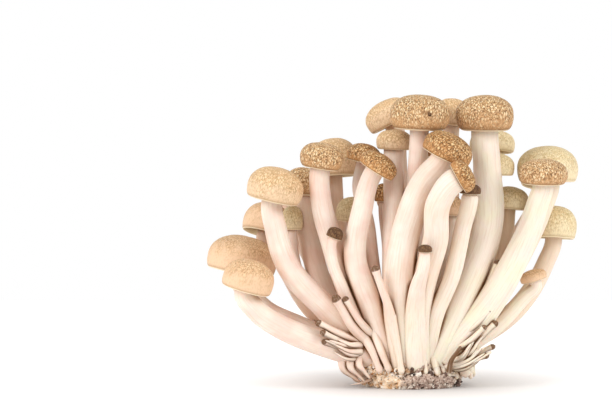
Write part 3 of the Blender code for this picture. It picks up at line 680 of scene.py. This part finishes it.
def pin_part(pin, number, withered, ending):
    """A pin or strand, thickest at its root. Its tip is dark, blunt or pointed, or all of it is dark."""
    tip, bend, root = (Vector(place) * MM for place in (pin.tip, pin.bend, pin.root))
    radius = pin.thick / 2 * MM
    end = (tip - bend).normalized()
    neck = tip - end * PIN_TIP_LENGTH * radius
    path = smooth_path([root, bend, neck], (bend - root).normalized(), end, PIN_STEP)
    shares = lengths_along(path)
    pointed = ending == "pointed"
    radii = list(radius * (PIN_ROOT_SWELL - (POINTED_TAPER if pointed else PIN_TAPER) * shares / shares[-1]))
    last = radii[-1]
    for i in range(1, PIN_TIP_STEPS + 1):
        share = i / PIN_TIP_STEPS
        path.append(neck + end * PIN_TIP_LENGTH * radius * share)
        swelling = last if pointed else last * (1 + PIN_TIP_SWELL * min(1.0, share * 2))
        closing = share if pointed else max(0.0, 2 * share - 1)
        radii.append(swelling * math.sqrt(max(0.02, 1 - closing ** 2)))
    total = lengths_along(path)[-1]
    dark_from = {"dark": total - radius, "all dark": 0}.get(ending)
    pink = between(-pin.tip[0], *PIN_TO_PINK_MM)
    return tube_part(path, radii, 40 + number, pink, PIN_DULL, dark_from, withered)


def heart_part():
    """The solid flesh over the butt: a turned lump with an uneven surface and a torn hem."""
    base = BUTT_HEIGHT + GAP
    profile = refined(HEART_PROFILE_MM, HEART_STEPS)[1:-1]
    points = turned(profile * MM + (0, base), HEART_SIDES, 1, HEART_DEPTH_RATIO).reshape(-1, 3)
    points[:, :2] *= 1 + HEART_LUMPS * roughness_at(points, HEART_LUMP_SIZE, 5)[:, None]
    low = between(points[:, 2], base + HEART_LOW, base)
    degrees, hem_height, hem_reach = np.array(HEART_HEM).T
    turn = np.degrees(np.arctan2(points[:, 1] / HEART_DEPTH_RATIO, points[:, 0])) % 360
    tatters = HEART_TATTERS * roughness_at(points * (1, 1, 0), HEART_TATTER_SIZE, 6)
    drop = base - np.interp(turn, degrees, hem_height) * MM - tatters
    foot_reach = HEART_PROFILE_MM[-2][0]
    spread = np.interp(turn, degrees, hem_reach) / foot_reach - 1
    outer = profile[:, 0].repeat(HEART_SIDES) > 0.9 * foot_reach
    points[:, 2] -= drop * low ** 2 * outer
    points[:, :2] *= (1 + spread * low * outer)[:, None]
    points = np.vstack([points, (0, 0, base + HEART_PROFILE_MM[0][1] * MM), (0, 0, base)])
    evenly = np.full(len(points), 0.1)
    values = {"grain_mm": points / MM, "pink": evenly, "dull_and_shade": evenly, "dark": np.zeros(len(points))}
    return points, closed_faces(len(profile), HEART_SIDES), values


# The scraps and folds of flesh that stand out one by one in front.
TORN_SLIVER = Pin((-19.0, -10.5, 1.2), 0.9, (-16.5, -10.5, 1.6), (-12.5, -8, 2.6))
LEFT_DRAPES = [
    Pin((-15.5, -9, 1.4), 2.8, (-21, -10, 6.0), (-21, -10.5, 11)),
    Pin((-14.5, -11, 2.2), 2.8, (-18.5, -12, 6.3), (-18.5, -11, 11)),
    Pin((-13, -11.8, 3.2), 2.6, (-16, -12.8, 7.0), (-16.5, -10.5, 10.5)),
    Pin((-17, -6.5, 1.6), 2.4, (-21.5, -7.5, 7.5), (-19.5, -7.5, 12)),
    Pin((-16.5, -3.5, 1.6), 2.6, (-20.5, -4, 6.5), (-18, -4, 10)),
]
LONG_FOLDS = [
    Pin((-3.5, -14.4, 4.8), 2.5, (-5.0, -14.8, 14), (-6.8, -16.4, 23)),
    Pin((-9.6, -12.4, 5.0), 2.8, (-12.0, -12.6, 11), (-17.0, -10.6, 19)),
    Pin((-7.0, -12.9, 5.4), 2.6, (-9.4, -13.0, 11), (-13.0, -10.2, 21)),
]
CURLED_STRIP = Pin((14.4, -13.6, 13.2), 1.5, (11.4, -13.8, 8.8), (10.8, -12.5, 5.2))
CLINGING_CRUMB_COUNT = 260
FRONT_ROOT_MM = -5
CLINGING_DEGREES = (195, 345)
CLINGING_HEIGHT_MM = (-1.0, 2.8, 0.0)


def clinging_crumbs(scatter):
    """Sawdust that clings to the feet of the front stems."""
    ball = ball_of(2)
    front = [mushroom for mushroom in MUSHROOMS if mushroom.root[1] < FRONT_ROOT_MM]
    parts = []
    for number in range(CLINGING_CRUMB_COUNT):
        mushroom = scatter.choice(front)
        angle = math.radians(scatter.uniform(*CLINGING_DEGREES))
        reach = mushroom.thick[1] / 2
        right, back = mushroom.root[0] + reach * math.cos(angle), mushroom.root[1] + reach * math.sin(angle)
        height = BUTT_HEIGHT + scatter.triangular(*CLINGING_HEIGHT_MM) * MM
        parts.append(small_crumb(ball, (right * MM, back * MM, height), number, scatter))
    return parts


back = back_pins(draw)
folds = side_folds(draw)
scatter = random.Random(SEED + 2)
blunt = [strand for fold in folds for strand in strands_of(fold, scatter)]
pointed = loose_strands(scatter) + LEFT_DRAPES + [TORN_SLIVER]
foot_parts = [heart_part()]
for strands, first, withered, ending in (
        (blunt, 60, 0.6, "blunt"), (LONG_FOLDS, 250, 0.2, "blunt"), (pointed, 200, 0.85, "pointed"),
        (hem_tongues(scatter), 300, 0.3, "blunt"), ([CURLED_STRIP], 400, 1.0, "all dark")):
    foot_parts += [pin_part(strand, first + i, withered, ending) for i, strand in enumerate(strands)]
make_piece("flesh_foot", foot_parts, [stem_flesh], "stem_flesh", "stems")
make_piece("clinging_sawdust", clinging_crumbs(scatter), [sawdust], "butt", "cut_butt")
for number, pin in enumerate(FRONT_PINS + back):
    withered = 0.2 if pin.tip[2] > FRESH_PIN_HEIGHT_MM else 0.9
    pin_parts = [pin_part(pin, number, withered, "dark")]
    make_piece(f"pin_{number + 1:02d}", pin_parts, [stem_flesh], "stem_flesh", "stems")

# The caps: a dome of the same flesh under a dry brown skin, which is marbled at the crown and smooth at
# the margin. The rim rolls in to a thin pale edge, and thin radial gills hang under it round the stem.
DOME_POWER = 0.88
FEWEST_DOME_STEPS = 14
LIP_SHARE = 0.06
GILL_START_RISE = 0.035
GILL_DEPTH = 0.045
GILLS_PER_MM = 7.0
FEWEST_GILLS = 20
# The depth of a gill from the lip to the stem, as the stretch of a sine that it follows, in half turns.
GILL_CURVE = (0.12, 0.8)
SEAT_SHARE = 1.12
CAP_WAVES = ((2, 0.020), (3, 0.014))
CAP_RING_STEP_MM = 0.42
ROLL_STEPS = 12
UNDER_STEPS = 8
CAP_LUMPS = 0.022
CAP_LUMP_SIZE = 0.55
CAP_GRAIN = 0.006
CAP_GRAIN_SIZE = 1.3 * MM
MARBLE_MM = 0.75
MARBLE_SHAKE_MM = 1.1
CAP_CLOUD_MM = 3.5
FINE_MM = 0.45
SKIN_BUMP = 0.12 * MM
GILL_CLOUD_MM = 2.5
WART_PLACE_MM = (4.6, -16.0, 83.1)
WART_HALF_MM = (0.7, 0.5, 0.6)
WART_LUMPS = 0.3
WART_LUMP_SIZE = 0.7
YOUNG_RADIUS_MM = 3.6

SKINS = {
    "smooth": {"ground": "#DDB58C", "margin": "#E8C5A2", "pale": "#EFDAB2", "dark": "#8F6639", "net": 0.65,
               "reach": 0.5, "rim": 0.90, "level": 0.33},
    "pale": {"ground": "#DFB98C", "margin": "#E6C6A2", "pale": "#F5E2BA", "dark": "#9C7646", "net": 0.65,
             "reach": 0.75, "rim": 0.85, "level": 0.36},
    "marbled": {"ground": "#D2A674", "margin": "#CFA070", "pale": "#F4E2BA", "dark": "#684422", "net": 1.0,
                "reach": 0.77, "rim": 0.74, "level": 0.43},
    "brown": {"ground": "#B98248", "margin": "#C48C55", "pale": "#EFD4A2", "dark": "#432810", "net": 1.0,
              "reach": 0.8, "rim": 0.92, "level": 0.31},
    "straw": {"ground": "#E4CD9E", "margin": "#ECDAB4", "pale": "#F8EECE", "dark": "#A88C5A", "net": 0.6,
              "reach": 0.75, "rim": 0.87, "level": 0.34},
    "young": {"ground": "#5F4028", "margin": "#6E4C30", "pale": "#93704A", "dark": "#2F1D0E", "net": 0.7,
              "reach": 0.9, "rim": 0.94, "level": 0.32},
}


def cap_skin(name, colours):
    """The dry skin of a cap: matt with a soft sheen, with pale patches in a fine brown net at the crown."""
    material, tree, shader = new_material(name + "_cap_skin")
    place = add_node(tree, "Attribute", attribute_name="skin_mm", output="Vector")
    margin, roll = (add_node(tree, "Attribute", attribute_name=value, output="Fac")
                    for value in ("margin", "roll"))
    drawn = add_node(tree, "VectorMath", {0: place, 1: (1, 1, 0.6)}, operation="MULTIPLY")
    shake = add_node(tree, "TexNoise", {"Vector": drawn, "Scale": 1.0, "Detail": 2.0}, output="Color")
    shaken = add_node(tree, "VectorMath", {0: shake, 1: [MARBLE_SHAKE_MM] * 3, 2: drawn},
                      operation="MULTIPLY_ADD")
    cells = add_node(tree, "TexVoronoi", {"Vector": shaken, "Scale": 1 / MARBLE_MM},
                     feature="DISTANCE_TO_EDGE")
    spots = add_node(tree, "TexVoronoi", {"Vector": shaken, "Scale": 1 / (0.8 * MARBLE_MM)})
    clouds = add_node(tree, "TexNoise", {"Vector": place, "Scale": 1 / CAP_CLOUD_MM, "Detail": 3.0})
    fine = add_node(tree, "TexNoise", {"Vector": drawn, "Scale": 1 / FINE_MM, "Detail": 3.0})
    wander = add_node(tree, "Math", {0: clouds, 1: -0.7, 2: margin}, operation="MULTIPLY_ADD")
    crown = add_node(tree, "MapRange", {"Value": wander, "From Min": colours["reach"],
                                        "From Max": colours["reach"] - 0.5, "To Max": colours["net"]},
                     interpolation_type="SMOOTHSTEP")
    smooth = add_node(tree, "MapRange", {"Value": wander, "From Min": 0.1, "From Max": 0.5},
                      interpolation_type="SMOOTHSTEP")
    inside = add_node(tree, "MapRange", {"Value": cells, "From Min": 0.10, "From Max": 0.30})
    patch = add_node(tree, "Math", {0: inside, 1: crown}, operation="MULTIPLY")
    patch = add_node(tree, "Math", {0: patch, 1: 0.8}, operation="MULTIPLY")
    line = add_node(tree, "MapRange", {"Value": cells, "From Min": 0.14, "From Max": 0.03, "To Max": 0.7})
    spot = add_node(tree, "MapRange", {"Value": spots, "From Min": 0.42, "From Max": 0.26})
    either = add_node(tree, "Math", {0: line, 1: spot}, operation="MAXIMUM")
    broken = add_node(tree, "MapRange", {"Value": fine, "From Min": 0.36, "From Max": 0.52})
    net = add_node(tree, "Math", {0: either, 1: broken}, operation="MULTIPLY")
    net = add_node(tree, "Math", {0: net, 1: crown}, operation="MULTIPLY")
    streaks = add_node(tree, "MapRange", {"Value": fine, "From Min": 0.5, "From Max": 0.8, "To Max": 0.3})
    shadow = add_node(tree, "MapRange", {"Value": roll, "From Min": 0.45, "From Max": 0.68, "To Max": 0.45})
    edge = add_node(tree, "MapRange", {"Value": roll, "From Min": 0.70, "From Max": 0.76, "To Max": 0.95})
    colour = linear(colours["ground"])
    for share, coat in ((smooth, colours["margin"]), (patch, colours["pale"]), (net, colours["dark"]),
                        (streaks, colours["dark"]), (shadow, colours["dark"]), (edge, "#F3E2C2")):
        colour = add_node(tree, "Mix", {0: share, 6: colour, 7: linear(coat)}, data_type="RGBA", output=2)
    height = add_node(tree, "Math", {0: net, 1: -1.0, 2: fine}, operation="MULTIPLY_ADD")
    bump = add_node(tree, "Bump", {"Height": height, "Strength": 0.6, "Distance": SKIN_BUMP})
    fill_sockets(tree, shader, {"Base Color": colour, "Normal": bump, "Roughness": 0.6, "IOR": 1.36,
                                "Subsurface Weight": 0.08, "Subsurface Radius": (1.0, 0.5, 0.25),
                                "Subsurface Scale": 1.0 * MM})
    return material


def gill_flesh():
    """The gills: thin soft blades of cream flesh, matt, in slightly uneven shades."""
    material, tree, shader = new_material("gill_flesh")
    place = add_node(tree, "Attribute", attribute_name="skin_mm", output="Vector")
    clouds = add_node(tree, "TexNoise", {"Vector": place, "Scale": 1 / GILL_CLOUD_MM, "Detail": 3.0})
    colour = add_node(tree, "ValToRGB", {"Fac": clouds}, [(0.35, "#C9AE80"), (0.65, "#E6D3AC")])
    fill_sockets(tree, shader, {"Base Color": colour, "Roughness": 0.7, "IOR": 1.38})
    return material


def fine_cap_profile(mushroom):
    """The cap's outline from near its crown to the stem's seat, and how many of its points are skin."""
    radius, height = mushroom.radius * MM, mushroom.height * MM
    widest = SKINS[mushroom.skin]["level"] * height
    rim = SKINS[mushroom.skin]["rim"]
    dome_steps = max(FEWEST_DOME_STEPS, round((mushroom.radius + mushroom.height) * 0.8 / CAP_RING_STEP_MM))
    profile = []
    for i in range(1, dome_steps + 1):
        angle = math.pi / 2 * i / dome_steps
        across, up = math.sin(angle) ** DOME_POWER, abs(math.cos(angle)) ** DOME_POWER
        profile.append((radius * across, widest + (height - widest) * up))
    for i in range(1, ROLL_STEPS + 1):
        angle = math.pi / 2 * i / ROLL_STEPS
        profile.append((radius * (rim + (1 - rim) * math.cos(angle)), widest * (1 - math.sin(angle))))
    start = ((rim - LIP_SHARE) * radius, GILL_START_RISE * radius)
    seat = (SEAT_SHARE * tip_radius(mushroom), GILL_RISE * radius)
    return np.array([*profile, *refined([start, seat], UNDER_STEPS)]), len(profile)


def cap_part(mushroom, number):
    """One cap in its own frame: dome, rolled rim, gills and seat, uneven as it grew."""
    profile, skin_rings = fine_cap_profile(mushroom)
    sides = 2 * max(FEWEST_GILLS, round(mushroom.radius * GILLS_PER_MM))
    angle = np.arange(sides) * math.tau / sides
    radius = mushroom.radius * MM
    spread = np.ones((len(profile), sides, 1))
    for waves, size in CAP_WAVES:
        spread[:-1, :, 0] += size * np.sin(waves * (angle + number))
    points = turned(profile, sides, 1, 1)
    points[:, :, :2] *= spread
    under = len(profile) - skin_rings
    hang = np.sin(np.linspace(*GILL_CURVE, under) * math.pi) * GILL_DEPTH * radius
    points[skin_rings:, :, 2] += hang[:, None] * np.where(np.arange(sides) % 2, 1.0, -1.0)
    flat = points.reshape(-1, 3)
    lumps = CAP_LUMPS * roughness_at(flat, CAP_LUMP_SIZE * radius, number)
    lumps += CAP_GRAIN * roughness_at(flat, CAP_GRAIN_SIZE, number)
    lumps = lumps.reshape(len(profile), sides)
    lumps[skin_rings:] *= np.linspace(1, 0, under)[:, None]
    middle = np.array((0, 0, SKINS[mushroom.skin]["level"] * mushroom.height * MM))
    points = middle + (points - middle) * (1 + lumps)[:, :, None]
    crown = (0, 0, mushroom.height * MM * (1 + lumps[0].mean()))
    points = np.vstack([points.reshape(-1, 3), crown, (0, 0, GILL_RISE * radius)])
    lengths = np.cumsum(np.linalg.norm(np.diff(profile, axis=0, prepend=[(0, mushroom.height * MM)]), axis=1))
    margin = np.minimum(1.0, lengths / lengths[skin_rings - 1])
    roll = np.zeros(len(profile))
    roll[skin_rings - ROLL_STEPS:skin_rings] = np.arange(1, ROLL_STEPS + 1) / ROLL_STEPS
    faces = closed_faces(len(profile), sides)
    second = np.zeros(len(faces))
    second[(skin_rings - 1) * sides:(len(profile) - 1) * sides] = 1
    second[-sides:] = 1
    margin, roll = np.append(margin.repeat(sides), (0, 1)), np.append(roll.repeat(sides), (0, 0))
    values = {"skin_mm": points / MM + number * np.array((31, 17, 11)), "margin": margin, "roll": roll}
    return points, faces, values, second


def wart_part():
    """The wart on the front of the tallest cap: a low dark knob of skin."""
    points, faces = ball_of(3)
    lumps = 1 + WART_LUMPS * roughness_at(points, WART_LUMP_SIZE, 9)
    placed = (points * lumps[:, None] * WART_HALF_MM + np.array(WART_PLACE_MM)) * MM
    values = {"skin_mm": placed / MM, "margin": np.full(len(placed), 0.1), "roll": np.zeros(len(placed))}
    return placed, faces, values


skins = {name: cap_skin(name, colours) for name, colours in SKINS.items()}
make_piece("cap_13_wart", [wart_part()], [skins["young"]], "cap_skin", "cap_13")
gills = gill_flesh()
for number, mushroom in enumerate(MUSHROOMS):
    slot = "young_skin" if mushroom.radius <= YOUNG_RADIUS_MM else "cap_skin"
    cap = make_piece(mushroom.name + "_fine", [cap_part(mushroom, number)], [skins[mushroom.skin], gills],
                     slot, mushroom.name)
    cap.matrix_world = Matrix.Translation(Vector(mushroom.rim) * MM) @ cap_turn(mushroom)

# The studio: a white floor with a painted glow away from the cluster, white surroundings, and a large soft
# light at each side of the camera.
FLOOR_HALF = 0.3
GLOW_FROM = 0.01
GLOW_FULL = 0.055
SOFT_BOX_SIZE = 0.6
CLUSTER_MIDDLE = Vector((0, 0, 0.05))
CAMERA_DISTANCE = 0.9
CAMERA_RISE = math.radians(3)
CAMERA_TARGET = Vector((-32.33, 0, 55.43)) * MM
PHOTO_WIDTH = 612
MM_PER_PIXEL = 0.305
SENSOR_WIDTH = 36


def lit_white_acrylic():
    """The floor: matt white, with a painted glow that grows with the distance from the cluster, so only the
    shadow round the cluster is seen.
    """
    material, tree, shader = new_material("lit_white_acrylic")
    place = add_node(tree, "NewGeometry", output="Position")
    distance = add_node(tree, "VectorMath", {0: place}, operation="LENGTH", output="Value")
    # Painted glow: the floor glows more the further it is from the cluster.
    glow = add_node(tree, "MapRange", {"Value": distance, "From Min": GLOW_FROM, "From Max": GLOW_FULL,
                                       "To Max": 0.5})
    fill_sockets(tree, shader, {"Base Color": linear("#D2CFCD"), "Roughness": 0.9,
                                "Emission Color": linear("#FFFFFF"), "Emission Strength": glow})
    return material


floor_mesh = bpy.data.meshes.new("floor")
corners = [(-FLOOR_HALF, -FLOOR_HALF, 0), (FLOOR_HALF, -FLOOR_HALF, 0), (FLOOR_HALF, FLOOR_HALF, 0),
           (-FLOOR_HALF, FLOOR_HALF, 0)]
floor_mesh.from_pydata(corners, [], [(0, 1, 2, 3)])
floor_mesh.materials.append(lit_white_acrylic())
floor = bpy.data.objects.new("floor", floor_mesh)
bpy.context.scene.collection.objects.link(floor)

world = bpy.data.worlds.new("studio")
world.use_nodes = True
bpy.context.scene.world = world
seen = add_node(world.node_tree, "LightPath", output="Is Camera Ray")
strength = add_node(world.node_tree, "MapRange", {"Value": seen, "To Min": 0.72, "To Max": 1.0})
background = world.node_tree.nodes["Background"]
fill_sockets(world.node_tree, background, {"Color": linear("#FFFFFF"), "Strength": strength})

soft_boxes = [("left_soft_box", (-0.75, -0.55, 0.55), 5.9), ("right_soft_box", (0.8, -0.45, 0.6), 4.8)]
for name, place, power in soft_boxes:
    light = bpy.data.lights.new(name, "AREA")
    light.energy = power
    light.size = SOFT_BOX_SIZE
    soft_box = bpy.data.objects.new(name, light)
    soft_box.location = place
    soft_box.rotation_euler = (CLUSTER_MIDDLE - Vector(place)).to_track_quat("-Z", "Y").to_euler()
    bpy.context.scene.collection.objects.link(soft_box)

camera_data = bpy.data.cameras.new("camera")
camera_data.sensor_width = SENSOR_WIDTH
camera_data.lens = SENSOR_WIDTH * CAMERA_DISTANCE / (PHOTO_WIDTH * MM_PER_PIXEL * MM)
camera = bpy.data.objects.new("camera", camera_data)
camera.location = CAMERA_TARGET + CAMERA_DISTANCE * Vector((0, -math.cos(CAMERA_RISE), math.sin(CAMERA_RISE)))
camera.rotation_euler = (math.pi / 2 - CAMERA_RISE, 0, 0)
bpy.context.scene.collection.objects.link(camera)
bpy.context.scene.camera = camera
bpy.context.scene.view_settings.view_transform = "Standard"

bpy.context.view_layer.update()
